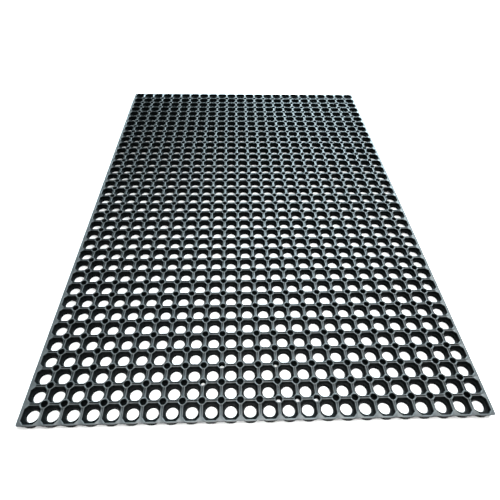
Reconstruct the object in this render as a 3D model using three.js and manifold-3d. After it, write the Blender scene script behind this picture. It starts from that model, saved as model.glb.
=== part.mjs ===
// A rubber drainage mat: one moulded sheet pierced by a square grid of tapered openings.
// Millimetres. The origin is the middle of the underside, X runs across the mat, Y along it and Z up.

import * as THREE from "three";
import { ConvexGeometry } from "three/addons/geometries/ConvexGeometry.js";
import { mergeGeometries, mergeVertices } from "three/addons/utils/BufferGeometryUtils.js";
import Module from "manifold-3d";

const wasm = await Module();
wasm.setup();

// The grid of openings
const COLUMNS = 24;
const ROWS_PER_HALF = 18;
const PITCH = 41.4;

// The sheet, and how far it goes on past the outer cells of the grid
const THICKNESS = 16;
const SIDE_BAND = 3.2;
const END_BAND = 4.8;
const CORNER_CHAMFER = 2;

// An opening is an octagon on top and narrows to a rounder, smaller mouth underneath.
// The ribs between the tops are RIB_WIDTH wide, and CORNER_CUT is what the octagon's corners
// leave of a square for the solid crossings.
const RIB_WIDTH = 6.4;
const CORNER_CUT = 6;
const LOWER_MOUTH_DIAMETER = 26;

// The openings next to an end are longer: only a thin rim is left between them and the end edge
const END_RIM = 3.3;
const END_CORNER_CUT = 9;

// Underneath, a ring of rubber stands round each mouth. The end edges bulge out at each opening
// and draw back at each rib, a little on top and as deep as the rings allow underneath.
const RING_WALL = 9;
const WAVE_DEPTH = 1.2;
const WAVE_CREST = 18;
const WAVE_FLANK = 6;

const WELD_DISTANCE = 1e-4;
const RUBBER = { color: 0x26292b, roughness: 0.8, metalness: 0.0 };

const topMouth = PITCH - RIB_WIDTH;
const ringRadius = LOWER_MOUTH_DIAMETER / 2 + RING_WALL;
const halfWidth = (COLUMNS * PITCH) / 2 + SIDE_BAND;
const halfLength = ROWS_PER_HALF * PITCH + END_BAND;
const lastRow = ROWS_PER_HALF - 1;

function columnX(column) {
  return (column + 0.5 - COLUMNS / 2) * PITCH;
}

function rowY(row) {
  return (row + 0.5) * PITCH;
}

// How far the ring round a mouth reaches towards the end, at a distance across from its middle
function ringReach(across) {
  return Math.sqrt(ringRadius ** 2 - across ** 2);
}

// A closed three.js geometry as a solid that can be cut
function solidOf(geometry) {
  const bare = geometry.clone();
  bare.deleteAttribute("normal");
  bare.deleteAttribute("uv");
  const welded = mergeVertices(bare, WELD_DISTANCE);
  return new wasm.Manifold(
    new wasm.Mesh({
      numProp: 3,
      vertProperties: welded.attributes.position.array,
      triVerts: new Uint32Array(welded.index.array),
    }),
  );
}

// A solid back as a three.js geometry with flat-shaded faces
function geometryOf(solid) {
  const mesh = solid.getMesh();
  const geometry = new THREE.BufferGeometry();
  geometry.setAttribute("position", new THREE.BufferAttribute(mesh.vertProperties, 3));
  geometry.setIndex(new THREE.BufferAttribute(mesh.triVerts, 1));
  const faceted = geometry.toNonIndexed();
  faceted.computeVertexNormals();
  return faceted;
}

// The closed body between an outline on top and one on the underside, point below point
function loft(pairs) {
  const count = pairs.length;
  const tops = pairs.map((pair) => pair.top);
  const bottoms = pairs.map((pair) => pair.bottom);
  const positions = [
    ...tops.flatMap((point) => [point.x, point.y, THICKNESS]),
    ...bottoms.flatMap((point) => [point.x, point.y, 0]),
  ];
  const faces = THREE.ShapeUtils.triangulateShape(tops, []).flat();
  for (const [a, b, c] of THREE.ShapeUtils.triangulateShape(bottoms, [])) {
    faces.push(count + a, count + c, count + b);
  }
  for (let index = 0; index < count; index += 1) {
    const next = (index + 1) % count;
    faces.push(index, count + index, count + next);
    faces.push(index, count + next, next);
  }
  const geometry = new THREE.BufferGeometry();
  geometry.setAttribute("position", new THREE.Float32BufferAttribute(positions, 3));
  geometry.setIndex(faces);
  return geometry;
}

// The wavy end edge from right to left: two points at each crest and one at each foot of it
function waveEdge() {
  const crest = WAVE_CREST / 2;
  const foot = crest + WAVE_FLANK;
  const pairs = [];
  for (let column = COLUMNS - 1; column >= 0; column -= 1) {
    for (const across of [foot, crest, -crest, -foot]) {
      const x = columnX(column) + across;
      const drawnBack = Math.abs(across) > crest ? WAVE_DEPTH : 0;
      pairs.push({
        top: new THREE.Vector2(x, halfLength - drawnBack),
        bottom: new THREE.Vector2(x, rowY(lastRow) + ringReach(across)),
      });
    }
  }
  return pairs;
}

// The corner at the right end of the wavy edge: a small chamfer on top, and underneath a cut
// that follows the last ring
function rightCorner() {
  const shoulder = halfLength - WAVE_DEPTH;
  const diagonal = ringRadius / Math.SQRT2;
  return [
    {
      top: new THREE.Vector2(halfWidth, shoulder - CORNER_CHAMFER),
      bottom: new THREE.Vector2(halfWidth, rowY(lastRow) + WAVE_CREST / 2),
    },
    {
      top: new THREE.Vector2(halfWidth - CORNER_CHAMFER, shoulder),
      bottom: new THREE.Vector2(columnX(COLUMNS - 1) + diagonal, rowY(lastRow) + diagonal),
    },
  ];
}

function mirrored(pair) {
  return {
    top: new THREE.Vector2(-pair.top.x, pair.top.y),
    bottom: new THREE.Vector2(-pair.bottom.x, pair.bottom.y),
  };
}

// One half of the sheet, from the middle of its length to the wavy end, without its openings
function halfSheet() {
  const middle = new THREE.Vector2(halfWidth, 0);
  const right = [{ top: middle, bottom: middle }, ...rightCorner()];
  const left = right.map(mirrored).reverse();
  return loft([...right, ...waveEdge(), ...left]);
}

// The space of one opening: an octagon level with the top, and a square level with the
// underside that has the area of the round mouth. In the last row the octagon is longer.
function openingSpace(row) {
  const flat = topMouth / 2;
  const cut = flat - CORNER_CUT;
  const mouth = (LOWER_MOUTH_DIAMETER * Math.sqrt(Math.PI)) / 4;
  const endFlat = PITCH / 2 + END_BAND - END_RIM;
  const points = [];
  for (const signX of [-1, 1]) {
    for (const signY of [-1, 1]) {
      const atEnd = row === lastRow && signY > 0;
      const flatY = atEnd ? endFlat : flat;
      const cutY = atEnd ? endFlat - END_CORNER_CUT : cut;
      points.push(new THREE.Vector3(signX * flat, signY * cutY, THICKNESS));
      points.push(new THREE.Vector3(signX * cut, signY * flatY, THICKNESS));
      points.push(new THREE.Vector3(signX * mouth, signY * mouth, 0));
    }
  }
  return new ConvexGeometry(points);
}

// All the openings of the half that halfSheet makes
function openingGrid() {
  const spaces = [];
  for (let row = 0; row < ROWS_PER_HALF; row += 1) {
    const space = openingSpace(row);
    for (let column = 0; column < COLUMNS; column += 1) {
      spaces.push(space.clone().translate(columnX(column), rowY(row), 0));
    }
  }
  return mergeGeometries(spaces);
}

// The mat is one piece, held as two halves that meet face to face along the middle rib
const matHalf = geometryOf(solidOf(halfSheet()).subtract(solidOf(openingGrid())));

function namedHalf(name, turn) {
  const material = new THREE.MeshStandardMaterial(RUBBER);
  const half = new THREE.Mesh(matHalf, material);
  half.name = name;
  half.rotation.z = turn;
  return half;
}

const mat = new THREE.Group();
mat.name = "rubber_drainage_mat";
mat.add(namedHalf("near_half", Math.PI));
mat.add(namedHalf("far_half", 0));

export default mat;
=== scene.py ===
"""A rubber drainage mat on a pale floor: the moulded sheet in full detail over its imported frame."""

import math

import bpy
import numpy as np
from mathutils import Matrix, Vector


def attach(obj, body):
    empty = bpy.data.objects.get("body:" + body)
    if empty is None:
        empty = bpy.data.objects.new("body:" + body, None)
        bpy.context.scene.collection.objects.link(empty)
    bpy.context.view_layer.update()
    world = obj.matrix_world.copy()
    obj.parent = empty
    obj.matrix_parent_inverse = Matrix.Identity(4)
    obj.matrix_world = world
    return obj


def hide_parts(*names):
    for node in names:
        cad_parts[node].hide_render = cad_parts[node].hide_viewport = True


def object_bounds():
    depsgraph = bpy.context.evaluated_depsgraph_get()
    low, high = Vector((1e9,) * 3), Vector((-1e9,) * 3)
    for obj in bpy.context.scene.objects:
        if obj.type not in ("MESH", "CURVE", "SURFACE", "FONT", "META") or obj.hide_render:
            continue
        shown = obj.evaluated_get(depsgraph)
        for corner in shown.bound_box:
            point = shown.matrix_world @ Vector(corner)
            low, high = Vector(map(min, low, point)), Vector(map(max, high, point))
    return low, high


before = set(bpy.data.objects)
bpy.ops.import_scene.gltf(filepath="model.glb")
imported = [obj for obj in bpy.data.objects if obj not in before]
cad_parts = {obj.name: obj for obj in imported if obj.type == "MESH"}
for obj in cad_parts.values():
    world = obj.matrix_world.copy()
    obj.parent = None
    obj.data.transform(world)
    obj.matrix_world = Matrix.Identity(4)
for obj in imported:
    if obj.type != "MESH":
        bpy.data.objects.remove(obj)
CAD_LOW, CAD_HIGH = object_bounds()

# Blender works in metres, and the mat's own sizes are given in millimetres
MM = 0.001

# The grid of openings and the outer edge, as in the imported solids
COLUMNS = 24
ROWS = 36
PITCH = 41.4 * MM
RIB_WIDTH = 6.4 * MM
HALF_PITCH = PITCH / 2
HALF_WIDTH = CAD_HIGH[0]
HALF_LENGTH = CAD_HIGH[1]
THICKNESS = CAD_HIGH[2]
SIDE_REACH = HALF_WIDTH - COLUMNS / 2 * PITCH + HALF_PITCH
END_REACH = HALF_LENGTH - ROWS / 2 * PITCH + HALF_PITCH
CORNER_CHAMFER = 2 * MM
WAVE_DEPTH = 1.2 * MM
WAVE_CREST = 9 * MM
WAVE_FOOT = 15 * MM
WAVE_VALLEY = END_REACH - WAVE_DEPTH

# The octagonal top of an opening. FLAT_TAIL is the stretch of a flat beside its rounded corner.
FLAT = HALF_PITCH - RIB_WIDTH / 2
CORNER_CUT = 7.2 * MM
CORNER_ROUND = 2 * MM
FLAT_TAIL = 0.9 * MM
END_RIM = 3.3 * MM
END_FLAT = END_REACH - END_RIM
END_CORNER_CUT = 8 * MM

# The wall of an opening from the underside up
MOUTH_RADIUS = 12.7 * MM
MOUTH_SIDES = 36
MOUTH_EDGE = 0.6 * MM
CONE_RADIUS = 14.2 * MM
LEDGE_HEIGHT = 7 * MM
LEDGE_RISE = 0.8 * MM
WALL_DRAFT = 0.9 * MM

# Each opening has a raised lip, and a groove runs along every rib between two lips.
# The lip's stops are distances out from the opening's edge.
LIP_EDGE_DROP = 0.8 * MM
LIP_RISE = 0.65 * MM
LIP_CREST = 1.3 * MM
LIP_END = 2.0 * MM
LIP_STOPS = (0.0, LIP_RISE / 3, LIP_RISE, LIP_CREST, LIP_END)
LIP_ROOM = LIP_END + 0.25 * MM
GROOVE_DEPTH = 1.8 * MM

# The border band and the gussets that fill its corners with the ribs
BORDER_DROP = 0.35 * MM
BORDER_EDGE = 0.5 * MM
GUSSET_RISE = 1.6 * MM

# The sockets at the rib crossings. The rim's stops are distances out from the socket's edge.
SOCKET_RADIUS = 7.7 * MM
SOCKET_STEPS = 5
SOCKET_EDGE_DROP = 0.5 * MM
SOCKET_EDGE_WIDTH = 0.35 * MM
SOCKET_EDGE_DEPTH = 0.7 * MM
SOCKET_WALL_DRAFT = 0.3 * MM
SOCKET_FLOOR = 3.6 * MM
SOCKET_FLOOR_RADIUS = 6.5 * MM
SOCKET_FLOOR_ROUND = 0.9 * MM
RIM_CREST_START = 0.45 * MM
RIM_CREST_END = 1.35 * MM
RIM_END = 2.2 * MM
RIM_FOOT = HALF_PITCH - SOCKET_RADIUS - RIM_END
RIB_START = RIM_FOOT - 0.6 * MM

# Under each socket is a shallow recess. An open socket has a hole in its floor.
# An open socket is named by the column to its left and the row before it, counted from the near left.
RECESS_CEILING = 2.2 * MM
RECESS_RADIUS = 7.2 * MM
OPEN_RADIUS = 4.8 * MM
OPEN_SOCKETS = [(13, 1), (14, 1), (15, 1), (9, 2), (10, 3), (13, 3)]

# The ring round each mouth, which shows along the outer edges under the thinner top band.
# Its round face stops RING_MARGIN degrees before the middle of a border side, and a flat one spans the gap.
RING_RADIUS = 23.8 * MM
RING_STEPS = 5
RING_MARGIN = 9
RING_JOINT = math.acos(HALF_PITCH / RING_RADIUS)
BAND_THICKNESS = 3.6 * MM

# Where the border cells have points along the outer edge and along the middle of a rib, in millimetres
SIDE_EDGE_STOPS = (8.5, 12.5, 16.5)
SIDE_RIB_STOPS = (21.5, 19.0, 16.5, 14.5, 12.8)
END_RIB_STOPS = (12.8, 15.5, 18.5, 21.5)
CORNER_EDGE_STOPS = (8.5, 13.0, 17.5, 20.5)

# The mesh
STRIPS = 6
ROWS_PER_STRIP = ROWS // STRIPS
WELD_STEP = 0.001 * MM
SHARP_ANGLE = math.radians(48)
QUARTER_SIGNS = [(1, 1), (-1, 1), (-1, -1), (1, -1)]

# The rubber. Its top has a tone of wear and dust, and its walls and hollows get a near-black painted shade
# and a low specular. The change sets in between two heights and between two upward shares of the normal.
PAINTED_SHADE_COLOURS = ((0.0015, 0.0024, 0.0026), (0.0030, 0.0040, 0.0040))
WORN_COLOURS = ((0.030, 0.035, 0.037), (0.054, 0.061, 0.061))
WEAR_AND_SHADE_HEIGHTS = (THICKNESS - 2.3 * MM, THICKNESS - 0.9 * MM)
WEAR_AND_SHADE_TILTS = (0.35, 0.75)
RUBBER_SPECULAR = (0.03, 0.50)
RUBBER_ROUGHNESS = (0.33, 0.45)
BLOTCH_SCALE = 14.0
GRAIN_SCALE = 900.0
GRAIN_STRENGTH = 0.25
GRAIN_DEPTH = 0.15 * MM

# The floor, in metres
FLOOR_COLOURS = ((0.86, 0.86, 0.86), (0.90, 0.90, 0.90))
FLOOR_SPECKLE_SCALE = 3.0
FLOOR_ROUGHNESS = 0.9
FLOOR_HALF = 12.0

# The camera, fitted to the mat's corners and openings in the photo. Its lens and sensor are in
# millimetres, and its place is in metres.
CAMERA_LENS = 29.356
CAMERA_SENSOR = 36.0
CAMERA_SHIFT = (-0.001, 0.001)
CAMERA_CLIP = 0.01
CAMERA_PLACE = (-0.0493, -1.0830, 0.8675)
CAMERA_RIGHT = (0.99928, -0.03186, 0.02039)
CAMERA_FORWARD = (0.03681, 0.69501, -0.71806)

# The lights, in metres, watts and degrees
WORLD_STRENGTH = 0.5
WHITE = (1.0, 1.0, 1.0)
COOL_WHITE = (0.70, 0.91, 1.0)
SOFTBOXES = {
    "back_softbox": {"place": (0.9, 3.3, 2.4), "target": (0.0, 0.0, 0.0),
                     "size": 2.6, "power": 720, "spread": 180, "colour": COOL_WHITE},
    "right_softbox": {"place": (1.9, 1.2, 2.6), "target": (0.2, -0.3, 0.0),
                      "size": 2.2, "power": 110, "spread": 180, "colour": WHITE},
    "near_softbox": {"place": (0.0, -0.9, 2.2), "target": (0.0, -0.9, 0.0),
                     "size": 1.4, "power": 8, "spread": 60, "colour": WHITE},
    "front_softbox": {"place": (0.0, -2.3, 1.3), "target": (0.0, -0.95, 0.0),
                      "size": 1.0, "power": 2.5, "spread": 40, "colour": WHITE},
}


# Outlines of one quarter of a cell. A quarter runs from its +u axis round to its +v axis, with
# the opening's middle at (0, 0). Its outer corner is the rib crossing at (HALF_PITCH, HALF_PITCH).
# In a border quarter u points out of the mat's side and v out of its end.


def octagon_quarter(flat_u, flat_v, cut_u, cut_v):
    """Ten points of the opening's top edge and the directions out of them."""
    start = np.array([flat_u, flat_v - cut_v])
    end = np.array([flat_u - cut_u, flat_v])
    along = (end - start) / np.linalg.norm(end - start)
    out = np.array([along[1], -along[0]])
    turn_u = math.acos(out[0])
    turn_v = math.acos(out[1])
    back_u = CORNER_ROUND * math.tan(turn_u / 2)
    back_v = CORNER_ROUND * math.tan(turn_v / 2)
    centre_u = np.array([flat_u - CORNER_ROUND, start[1] - back_u])
    centre_v = np.array([end[0] - back_v, flat_v - CORNER_ROUND])
    first = start + along * back_u
    last = end - along * back_v
    half_u = np.array([math.cos(turn_u / 2), math.sin(turn_u / 2)])
    half_v = np.array([math.sin(turn_v / 2), math.cos(turn_v / 2)])
    axis_u = np.array([1.0, 0.0])
    axis_v = np.array([0.0, 1.0])
    points = [
        centre_u + axis_u * CORNER_ROUND - axis_v * FLAT_TAIL,
        centre_u + axis_u * CORNER_ROUND,
        centre_u + half_u * CORNER_ROUND,
        first,
        first + (last - first) / 3,
        first + (last - first) * 2 / 3,
        last,
        centre_v + half_v * CORNER_ROUND,
        centre_v + axis_v * CORNER_ROUND,
        centre_v + axis_v * CORNER_ROUND - axis_u * FLAT_TAIL,
    ]
    normals = [axis_u, axis_u, half_u, out, out, out, out, half_v, axis_v, axis_v]
    return np.array(points), np.array(normals)


def socket_arc():
    """The quarter of a socket's edge that lies in a cell's quarter."""
    angles = np.radians(np.linspace(270, 180, SOCKET_STEPS + 1))
    return HALF_PITCH + SOCKET_RADIUS * np.column_stack([np.cos(angles), np.sin(angles)])


def ring_arc(start, end):
    """Points of the ring's outer face between two angles."""
    angles = np.linspace(start, end, RING_STEPS)
    return RING_RADIUS * np.column_stack([np.cos(angles), np.sin(angles)])


def wave_points():
    """The wavy end edge from the foot of a crest to the middle of it."""
    half_way = (WAVE_FOOT + WAVE_CREST) / 2
    return [
        [WAVE_FOOT, WAVE_VALLEY],
        [half_way, WAVE_VALLEY + WAVE_DEPTH / 2],
        [WAVE_CREST, END_REACH],
        [WAVE_CREST / 2, END_REACH],
    ]


def inner_quarter():
    """A quarter with a socket at its corner."""
    edge, normals = octagon_quarter(FLAT, FLAT, CORNER_CUT, CORNER_CUT)
    arc = socket_arc()
    crest = HALF_PITCH - SOCKET_RADIUS - (RIM_CREST_START + RIM_CREST_END) / 2
    before = [[HALF_PITCH, RIB_START], [HALF_PITCH, crest]]
    after = [[crest, HALF_PITCH], [RIB_START, HALF_PITCH]]
    top = np.vstack([before, arc, after])
    return {"edge": edge, "normals": normals, "top": top, "top_outer": [False] * len(top),
            "low": arc, "low_outer": [False] * len(arc), "socket": True}


def side_quarter():
    """A quarter whose u side is the mat's straight side, with a solid gusset at its corner."""
    edge, normals = octagon_quarter(FLAT, FLAT, CORNER_CUT, CORNER_CUT)
    outer = [[SIDE_REACH, v * MM] for v in SIDE_EDGE_STOPS] + [[SIDE_REACH, HALF_PITCH]]
    shared = [[u * MM, HALF_PITCH] for u in SIDE_RIB_STOPS] + [[RIB_START, HALF_PITCH]]
    low = ring_arc(math.radians(RING_MARGIN), math.pi / 2 - RING_JOINT)
    return {"edge": edge, "normals": normals, "top": np.array(outer + shared),
            "top_outer": [True] * len(outer) + [False] * len(shared),
            "low": low, "low_outer": [True] * len(low), "socket": False}


def end_quarter():
    """A quarter whose v side is the mat's wavy end, with a solid gusset at its corner."""
    edge, normals = octagon_quarter(FLAT, END_FLAT, CORNER_CUT, END_CORNER_CUT)
    shared = [[HALF_PITCH, RIB_START]] + [[HALF_PITCH, v * MM] for v in END_RIB_STOPS]
    outer = [[HALF_PITCH, WAVE_VALLEY]] + wave_points()
    low = ring_arc(RING_JOINT, math.radians(90 - RING_MARGIN))
    return {"edge": edge, "normals": normals, "top": np.array(shared + outer),
            "top_outer": [False] * len(shared) + [True] * len(outer),
            "low": low, "low_outer": [True] * len(low), "socket": False}


def corner_quarter():
    """The quarter at a corner of the mat."""
    edge, normals = octagon_quarter(FLAT, END_FLAT, CORNER_CUT, END_CORNER_CUT)
    side = [[SIDE_REACH, v * MM] for v in CORNER_EDGE_STOPS]
    chamfer = [[SIDE_REACH, WAVE_VALLEY - CORNER_CHAMFER], [SIDE_REACH - CORNER_CHAMFER, WAVE_VALLEY]]
    top = np.array(side + chamfer + wave_points())
    low = ring_arc(math.radians(RING_MARGIN), math.radians(90 - RING_MARGIN))
    return {"edge": edge, "normals": normals, "top": top, "top_outer": [True] * len(top),
            "low": low, "low_outer": [True] * len(low), "socket": False}


QUARTERS = {
    "inner": inner_quarter(),
    "side": side_quarter(),
    "end": end_quarter(),
    "corner": corner_quarter(),
}

# Each kind's flat across v and the corner cut along it
EDGE_SHAPES = {
    "inner": (FLAT, CORNER_CUT),
    "side": (FLAT, CORNER_CUT),
    "end": (END_FLAT, END_CORNER_CUT),
    "corner": (END_FLAT, END_CORNER_CUT),
}


# Heights of the top surface


def lip_height(distance):
    """Height of a lip at a distance out from the opening's edge."""
    rising = THICKNESS - LIP_EDGE_DROP * (1 - np.sqrt(1 - np.clip(1 - distance / LIP_RISE, 0, 1) ** 2))
    falling = np.clip((distance - LIP_CREST) / (LIP_END - LIP_CREST), 0, 1)
    return rising - GROOVE_DEPTH * falling


def rim_height(distance):
    """Height of a socket's rim at a distance out from the socket's edge."""
    rising = THICKNESS - SOCKET_EDGE_DROP * (1 - np.clip(distance / RIM_CREST_START, 0, 1))
    falling = np.clip((distance - RIM_CREST_END) / (RIM_END - RIM_CREST_END), 0, 1)
    return rising - GROOVE_DEPTH * falling


def gusset_height(kind, u, v):
    """Height of the groove of a border rib and of the gusset and band that it runs into."""
    past_rib = np.zeros(len(u))
    if kind in ("side", "corner"):
        past_rib = np.maximum(past_rib, u - RIM_FOOT)
        past_rib = np.where(u > HALF_PITCH, GUSSET_RISE, past_rib)
    if kind in ("end", "corner"):
        past_rib = np.maximum(past_rib, v - RIM_FOOT)
        past_rib = np.where(v > HALF_PITCH, GUSSET_RISE, past_rib)
    depth = (GROOVE_DEPTH - BORDER_DROP) * (1 - np.clip(past_rib / GUSSET_RISE, 0, 1))
    return THICKNESS - BORDER_DROP - depth


def top_height(kind, points):
    """Height of the top surface at points of a quarter."""
    flat_v, cut_v = EDGE_SHAPES[kind]
    u, v = points[:, 0], points[:, 1]
    long_side = math.hypot(CORNER_CUT, cut_v)
    chamfer = ((u - FLAT) * cut_v + (v - flat_v + cut_v) * CORNER_CUT) / long_side
    lip = lip_height(np.maximum.reduce([u - FLAT, v - flat_v, chamfer]))
    if kind == "inner":
        from_socket = np.hypot(u - HALF_PITCH, v - HALF_PITCH) - SOCKET_RADIUS
        return np.maximum(lip, rim_height(from_socket))
    return np.maximum(lip, gusset_height(kind, u, v))


# Loops of points and patches of triangles


def loop_of(kinds, part):
    """Joins a part of the four quarters into one loop round the opening, anticlockwise."""
    pieces = []
    for kind, (sign_u, sign_v) in zip(kinds, QUARTER_SIGNS):
        values = part(kind)
        if sign_u * sign_v < 0:
            values = values[::-1]
        if values.ndim == 2:
            values = values * np.array([sign_u, sign_v, 1.0])
        pieces.append(values)
    return np.concatenate(pieces)


def flat_ring(points, height):
    """Points of a plane outline at one height, or at a height for each."""
    return np.column_stack([points, np.broadcast_to(height, len(points))])


def unwrapped(points):
    """Angles of points round the opening, rising from the first on."""
    return np.unwrap(np.arctan2(points[:, 1], points[:, 0]))


def outer_run(flags):
    """Indices of the run of outer points of a loop, in order."""
    starts = [i for i in range(len(flags)) if flags[i] and not flags[i - 1]]
    return np.array([(starts[0] + k) % len(flags) for k in range(int(flags.sum()))])


class Patch:
    """Vertices and triangles of one kind of cell, before they are copied over the grid."""

    def __init__(self):
        self.points = []
        self.faces = []
        self.count = 0

    def ring(self, points):
        """Adds points and gives their indices."""
        self.points.append(points)
        indices = np.arange(self.count, self.count + len(points))
        self.count += len(points)
        return indices

    def band(self, a, b, closed=True):
        """Two triangles between each pair of neighbours of two equal rings."""
        size = len(a) if closed else len(a) - 1
        here = np.arange(size)
        there = (here + 1) % len(a)
        self.faces.append(np.column_stack([a[here], b[here], b[there]]))
        self.faces.append(np.column_stack([a[here], b[there], a[there]]))

    def zipper(self, a, b, closed=True):
        """Triangles between two rings of unlike size, matched by their angle round the opening."""
        points = np.concatenate(self.points)
        angle_a = unwrapped(points[a])
        angle_b = unwrapped(points[b])
        if closed:
            angle_a = np.append(angle_a, angle_a[0] + 2 * math.pi)
            angle_b = np.append(angle_b, angle_b[0] + 2 * math.pi)
        i, j = 0, 0
        faces = []
        while i < len(angle_a) - 1 or j < len(angle_b) - 1:
            step_a = i < len(angle_a) - 1
            if step_a and j < len(angle_b) - 1:
                step_a = angle_a[i] + angle_a[i + 1] < angle_b[j] + angle_b[j + 1]
            if step_a:
                faces.append([a[i % len(a)], b[j % len(b)], a[(i + 1) % len(a)]])
                i += 1
            else:
                faces.append([a[i % len(a)], b[j % len(b)], b[(j + 1) % len(b)]])
                j += 1
        self.faces.append(np.array(faces))

    def fan(self, height, ring, upward):
        """Triangles from a point on the patch's axis to a ring, facing up or down."""
        centre = self.ring(np.array([[0.0, 0.0, height]]))[0]
        ahead = np.roll(ring, -1)
        middle = np.full(len(ring), centre)
        order = [middle, ring, ahead] if upward else [ring, middle, ahead]
        self.faces.append(np.column_stack(order))

    def coordinates(self, indices):
        """Coordinates of some of the points."""
        return np.concatenate(self.points)[indices]

    def arrays(self):
        """All points and all triangles."""
        return np.concatenate(self.points), np.concatenate(self.faces)


# Cells and sockets


def quarter_kind(at_side, at_end):
    """Name of a cell's quarter, by the borders of the mat that it touches."""
    if at_side and at_end:
        return "corner"
    if at_side:
        return "side"
    if at_end:
        return "end"
    return "inner"


def lip_ring(kind, offset):
    """Plane points of a quarter at an offset out of the opening's edge, short of a socket's rim."""
    quarter = QUARTERS[kind]
    if not quarter["socket"]:
        return quarter["edge"] + quarter["normals"] * offset
    room = np.linalg.norm(quarter["top"] - quarter["edge"], axis=1)
    share = np.minimum(offset, room * offset / LIP_ROOM)
    return quarter["edge"] + quarter["normals"] * share[:, None]


def lip_part(kind, offset):
    """A quarter's points of the lip at an offset out of the opening's edge."""
    points = lip_ring(kind, offset)
    return flat_ring(points, top_height(kind, points))


def boundary_part(kind):
    """A quarter's points of the cell's top boundary. Those on the mat's outer edge lie lower."""
    points = QUARTERS[kind]["top"]
    heights = top_height(kind, points)
    heights[np.array(QUARTERS[kind]["top_outer"])] = THICKNESS - BORDER_DROP - BORDER_EDGE
    return flat_ring(points, heights)


def add_outer_face(patch, kinds, top, low):
    """The mat's outer face of a border cell: the top band, its underside and the ring's outer face."""
    top_run = top[outer_run(loop_of(kinds, lambda kind: np.array(QUARTERS[kind]["top_outer"])))]
    low_run = low[outer_run(loop_of(kinds, lambda kind: np.array(QUARTERS[kind]["low_outer"])))]
    band_low = THICKNESS - BAND_THICKNESS
    band_foot = patch.ring(flat_ring(patch.coordinates(top_run)[:, :2], band_low))
    ring_head = patch.ring(flat_ring(patch.coordinates(low_run)[:, :2], band_low))
    patch.band(top_run, band_foot, closed=False)
    patch.zipper(band_foot, ring_head, closed=False)
    patch.band(ring_head, low_run, closed=False)


def cell_patch(side, end):
    """One cell: side is -1 or 1 at the left or right border and end at the near or far one, else 0."""
    kinds = [quarter_kind(sign_u == side, sign_v == end) for sign_u, sign_v in QUARTER_SIGNS]
    patch = Patch()
    angles = 2 * math.pi * (np.arange(MOUTH_SIDES) + 0.5) / MOUTH_SIDES
    circle = np.column_stack([np.cos(angles), np.sin(angles)])

    low = patch.ring(loop_of(kinds, lambda kind: flat_ring(QUARTERS[kind]["low"], 0.0)))
    below = patch.ring(flat_ring(circle * (MOUTH_RADIUS + MOUTH_EDGE), 0.0))
    patch.zipper(low, below)
    for radius, height in ((MOUTH_RADIUS, MOUTH_EDGE), (CONE_RADIUS, LEDGE_HEIGHT)):
        above = patch.ring(flat_ring(circle * radius, height))
        patch.band(below, above)
        below = above

    wall_foot = LEDGE_HEIGHT + LEDGE_RISE
    above = patch.ring(loop_of(kinds, lambda kind: flat_ring(lip_ring(kind, -WALL_DRAFT), wall_foot)))
    patch.zipper(below, above)
    below = above
    for offset in LIP_STOPS:
        above = patch.ring(loop_of(kinds, lambda kind: lip_part(kind, offset)))
        patch.band(below, above)
        below = above
    top = patch.ring(loop_of(kinds, boundary_part))
    patch.band(below, top)

    if side or end:
        add_outer_face(patch, kinds, top, low)
    return patch.arrays()


def socket_patch(is_open):
    """A socket round (0, 0) with a recess under it, and with a hole between the two if it is open."""
    patch = Patch()
    quarter = np.linspace(0, 90, SOCKET_STEPS + 1)[:-1]
    angles = np.radians(np.concatenate([quarter + turn for turn in (0, 90, 180, 270)]))
    circle = np.column_stack([np.cos(angles), np.sin(angles)])

    foot = patch.ring(flat_ring(circle * SOCKET_RADIUS, 0.0))
    ceiling = patch.ring(flat_ring(circle * RECESS_RADIUS, RECESS_CEILING))
    patch.band(foot, ceiling)
    below = patch.ring(flat_ring(circle * SOCKET_FLOOR_RADIUS, SOCKET_FLOOR))
    if is_open:
        hole_foot = patch.ring(flat_ring(circle * OPEN_RADIUS, RECESS_CEILING))
        hole_head = patch.ring(flat_ring(circle * OPEN_RADIUS, SOCKET_FLOOR))
        patch.band(ceiling, hole_foot)
        patch.band(hole_foot, hole_head)
        patch.band(hole_head, below)
    else:
        patch.fan(RECESS_CEILING, ceiling, upward=False)
        patch.fan(SOCKET_FLOOR, below, upward=True)

    wall_radius = SOCKET_RADIUS - SOCKET_EDGE_WIDTH
    edge_height = THICKNESS - SOCKET_EDGE_DROP
    wall = (
        (wall_radius - SOCKET_WALL_DRAFT, SOCKET_FLOOR + SOCKET_FLOOR_ROUND),
        (wall_radius, edge_height - SOCKET_EDGE_DEPTH),
        (SOCKET_RADIUS, edge_height),
    )
    for radius, height in wall:
        above = patch.ring(flat_ring(circle * radius, height))
        patch.band(below, above)
        below = above
    return patch.arrays()


# The strips of the mat


def column_x(column):
    """Middle of a column of openings."""
    return (column + 0.5 - COLUMNS / 2) * PITCH


def row_y(row):
    """Middle of a row of openings."""
    return (row + 0.5 - ROWS / 2) * PITCH


def border_of(index, count):
    """-1 for the first of a row or column of cells, 1 for the last and 0 between them."""
    if index == 0:
        return -1
    if index == count - 1:
        return 1
    return 0


def copies(patch, centres):
    """The patch's triangles repeated at each centre."""
    points, faces = patch
    centres = np.array(centres).reshape(-1, 1, 2)
    placed = np.repeat(points[None], len(centres), axis=0)
    placed[:, :, :2] += centres
    shifted = faces[None] + (np.arange(len(centres)) * len(points))[:, None, None]
    return placed.reshape(-1, 3), shifted.reshape(-1, 3)


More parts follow.
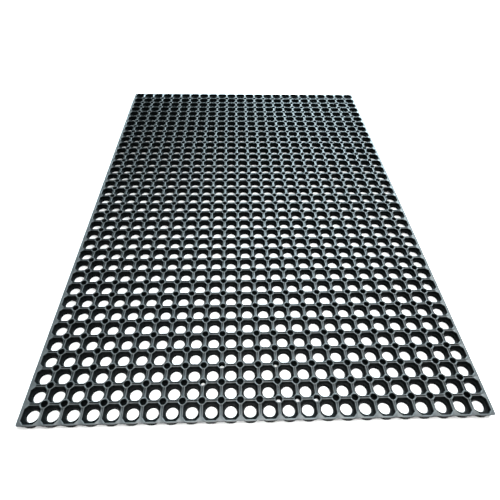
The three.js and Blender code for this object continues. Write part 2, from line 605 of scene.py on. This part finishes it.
def strip_parts(first_row, last_row):
    """Triangles of the rows from first_row up to but not including last_row."""
    cells = {}
    for row in range(first_row, last_row):
        for column in range(COLUMNS):
            borders = (border_of(column, COLUMNS), border_of(row, ROWS))
            cells.setdefault(borders, []).append((column_x(column), row_y(row)))
    sockets = {}
    for row in range(max(first_row, 1), last_row):
        for column in range(1, COLUMNS):
            place = (column_x(column) - HALF_PITCH, row_y(row) - HALF_PITCH)
            sockets.setdefault((column, row) in OPEN_SOCKETS, []).append(place)
    parts = [copies(cell_patch(*borders), places) for borders, places in cells.items()]
    parts += [copies(socket_patch(is_open), places) for is_open, places in sockets.items()]
    return parts


def welded(parts):
    """Joins several sets of triangles and merges the points that coincide."""
    points, faces, count = [], [], 0
    for some_points, some_faces in parts:
        points.append(some_points)
        faces.append(some_faces + count)
        count += len(some_points)
    points = np.concatenate(points)
    faces = np.concatenate(faces)
    keys = np.round(points / WELD_STEP).astype(np.int64)
    _, first, place = np.unique(keys, axis=0, return_index=True, return_inverse=True)
    return points[first], place.reshape(-1)[faces]


def new_mesh(name, points, faces):
    """A Blender object from arrays of points and triangles, smooth except at sharp edges."""
    mesh = bpy.data.meshes.new(name)
    mesh.vertices.add(len(points))
    mesh.vertices.foreach_set("co", points.astype(np.float32).ravel())
    mesh.loops.add(faces.size)
    mesh.loops.foreach_set("vertex_index", faces.astype(np.int32).ravel())
    mesh.polygons.add(len(faces))
    mesh.polygons.foreach_set("loop_start", np.arange(0, faces.size, 3, dtype=np.int32))
    mesh.polygons.foreach_set("use_smooth", np.ones(len(faces), dtype=bool))
    mesh.update(calc_edges=True)
    mesh.validate()
    mesh.set_sharp_from_angle(angle=SHARP_ANGLE)
    piece = bpy.data.objects.new(name, mesh)
    bpy.context.scene.collection.objects.link(piece)
    return piece


# Materials


def new_material(name):
    """A material with nodes, with its node tree and its shader."""
    material = bpy.data.materials.new(name)
    material.use_nodes = True
    return material, material.node_tree, material.node_tree.nodes["Principled BSDF"]


def noise(tree, place, scale, detail, roughness=0.5):
    """Outlet of a noise texture over the place given, or over the object's box if there is none."""
    made = tree.nodes.new("ShaderNodeTexNoise")
    made.inputs["Scale"].default_value = scale
    made.inputs["Detail"].default_value = detail
    made.inputs["Roughness"].default_value = roughness
    if place is not None:
        tree.links.new(place, made.inputs["Vector"])
    return made.outputs["Fac"]


def upward_part(tree, vector):
    """Outlet of a vector's z."""
    split = tree.nodes.new("ShaderNodeSeparateXYZ")
    tree.links.new(vector, split.inputs[0])
    return split.outputs["Z"]


def ramp(tree, value, before=(0.0, 1.0), after=(0.0, 1.0)):
    """Outlet of a value mapped from one range to another and held at its ends."""
    made = tree.nodes.new("ShaderNodeMapRange")
    made.inputs["From Min"].default_value = before[0]
    made.inputs["From Max"].default_value = before[1]
    made.inputs["To Min"].default_value = after[0]
    made.inputs["To Max"].default_value = after[1]
    tree.links.new(value, made.inputs["Value"])
    return made.outputs["Result"]


def colour_mix(tree, factor, first, second):
    """Outlet of a mix of two colours, each a fixed colour or another node's outlet."""
    made = tree.nodes.new("ShaderNodeMix")
    made.data_type = "RGBA"
    tree.links.new(factor, made.inputs["Factor"])
    for name, colour in (("A", first), ("B", second)):
        if isinstance(colour, tuple):
            made.inputs[name].default_value = (*colour, 1)
        else:
            tree.links.new(colour, made.inputs[name])
    return made.outputs["Result"]


def rubber_material():
    """Black moulded rubber: greyer and shinier on the top, which has a tone of wear and dust, with painted
    shade inside: near-black and dull on the walls and in the hollows.
    """
    material, tree, shader = new_material("moulded_rubber")
    link = tree.links.new
    place = tree.nodes.new("ShaderNodeTexCoord")
    high_up = ramp(tree, upward_part(tree, place.outputs["Object"]), WEAR_AND_SHADE_HEIGHTS)
    level = ramp(tree, upward_part(tree, place.outputs["Normal"]), WEAR_AND_SHADE_TILTS)
    on_top = tree.nodes.new("ShaderNodeMath")
    on_top.operation = "MULTIPLY"
    link(high_up, on_top.inputs[0])
    link(level, on_top.inputs[1])
    wear_and_shade = on_top.outputs["Value"]

    blotches = noise(tree, place.outputs["Object"], BLOTCH_SCALE, detail=4.0, roughness=0.6)
    grain = noise(tree, place.outputs["Object"], GRAIN_SCALE, detail=3.0, roughness=0.6)
    # The deep colours are painted shade for the walls and hollows; the top colours are the tone of wear and
    # dust.
    painted_shade_colour = colour_mix(tree, blotches, *PAINTED_SHADE_COLOURS)
    worn_colour = colour_mix(tree, blotches, *WORN_COLOURS)
    link(colour_mix(tree, wear_and_shade, painted_shade_colour, worn_colour), shader.inputs["Base Color"])
    # The low specular below the top stands in for shade as well.
    link(ramp(tree, wear_and_shade, after=RUBBER_SPECULAR), shader.inputs["Specular IOR Level"])
    link(ramp(tree, grain, after=RUBBER_ROUGHNESS), shader.inputs["Roughness"])

    bump = tree.nodes.new("ShaderNodeBump")
    bump.inputs["Strength"].default_value = GRAIN_STRENGTH
    bump.inputs["Distance"].default_value = GRAIN_DEPTH
    link(grain, bump.inputs["Height"])
    link(bump.outputs["Normal"], shader.inputs["Normal"])
    return material


def floor_material():
    """A matt pale floor with a faint unevenness of tone."""
    material, tree, shader = new_material("pale_floor")
    speckle = noise(tree, None, FLOOR_SPECKLE_SCALE, detail=2.0)
    tree.links.new(colour_mix(tree, speckle, *FLOOR_COLOURS), shader.inputs["Base Color"])
    shader.inputs["Roughness"].default_value = FLOOR_ROUGHNESS
    return material


# The studio


def make_camera():
    """A camera that looks down on the mat from beyond its near end."""
    data = bpy.data.cameras.new("camera")
    data.sensor_width = CAMERA_SENSOR
    data.lens = CAMERA_LENS
    data.clip_start = CAMERA_CLIP
    data.shift_x, data.shift_y = CAMERA_SHIFT
    camera = bpy.data.objects.new("camera", data)
    bpy.context.scene.collection.objects.link(camera)
    forward = Vector(CAMERA_FORWARD).normalized()
    up = Vector(CAMERA_RIGHT).cross(forward).normalized()
    right = forward.cross(up).normalized()
    turn = Matrix((right, up, -forward)).transposed().to_4x4()
    camera.matrix_world = Matrix.Translation(Vector(CAMERA_PLACE)) @ turn
    bpy.context.scene.camera = camera


def area_light(name, place, target, size, power, spread, colour):
    """A round soft light at a place, turned to its target."""
    data = bpy.data.lights.new(name, "AREA")
    data.spread = math.radians(spread)
    data.color = colour
    data.shape = "DISK"
    data.size = size
    data.energy = power
    light = bpy.data.objects.new(name, data)
    light.location = place
    aim = Vector(target) - Vector(place)
    light.rotation_euler = aim.to_track_quat("-Z", "Y").to_euler()
    bpy.context.scene.collection.objects.link(light)


def make_lights():
    """A white surrounding light and the softboxes."""
    world = bpy.data.worlds.new("studio")
    bpy.context.scene.world = world
    world.use_nodes = True
    background = world.node_tree.nodes["Background"]
    background.inputs["Color"].default_value = (*WHITE, 1)
    background.inputs["Strength"].default_value = WORLD_STRENGTH
    for name, values in SOFTBOXES.items():
        area_light(name, **values)


def make_floor():
    """A square floor under the mat."""
    corners = np.array([[-1, -1, 0], [1, -1, 0], [1, 1, 0], [-1, 1, 0]])
    faces = np.array([[0, 1, 2], [0, 2, 3]])
    floor = new_mesh("floor", corners * FLOOR_HALF, faces)
    floor.data.materials.append(floor_material())


make_camera()
make_lights()
make_floor()
bpy.context.scene.view_settings.view_transform = "Standard"

rubber = rubber_material()
for strip in range(STRIPS):
    points, faces = welded(strip_parts(strip * ROWS_PER_STRIP, (strip + 1) * ROWS_PER_STRIP))
    piece = new_mesh(f"mat_rows_{strip + 1}", points, faces)
    piece.data.materials.append(rubber)
    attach(piece, "root")
    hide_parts("near_half" if strip < STRIPS // 2 else "far_half")
    print(piece.name, len(faces), "triangles")
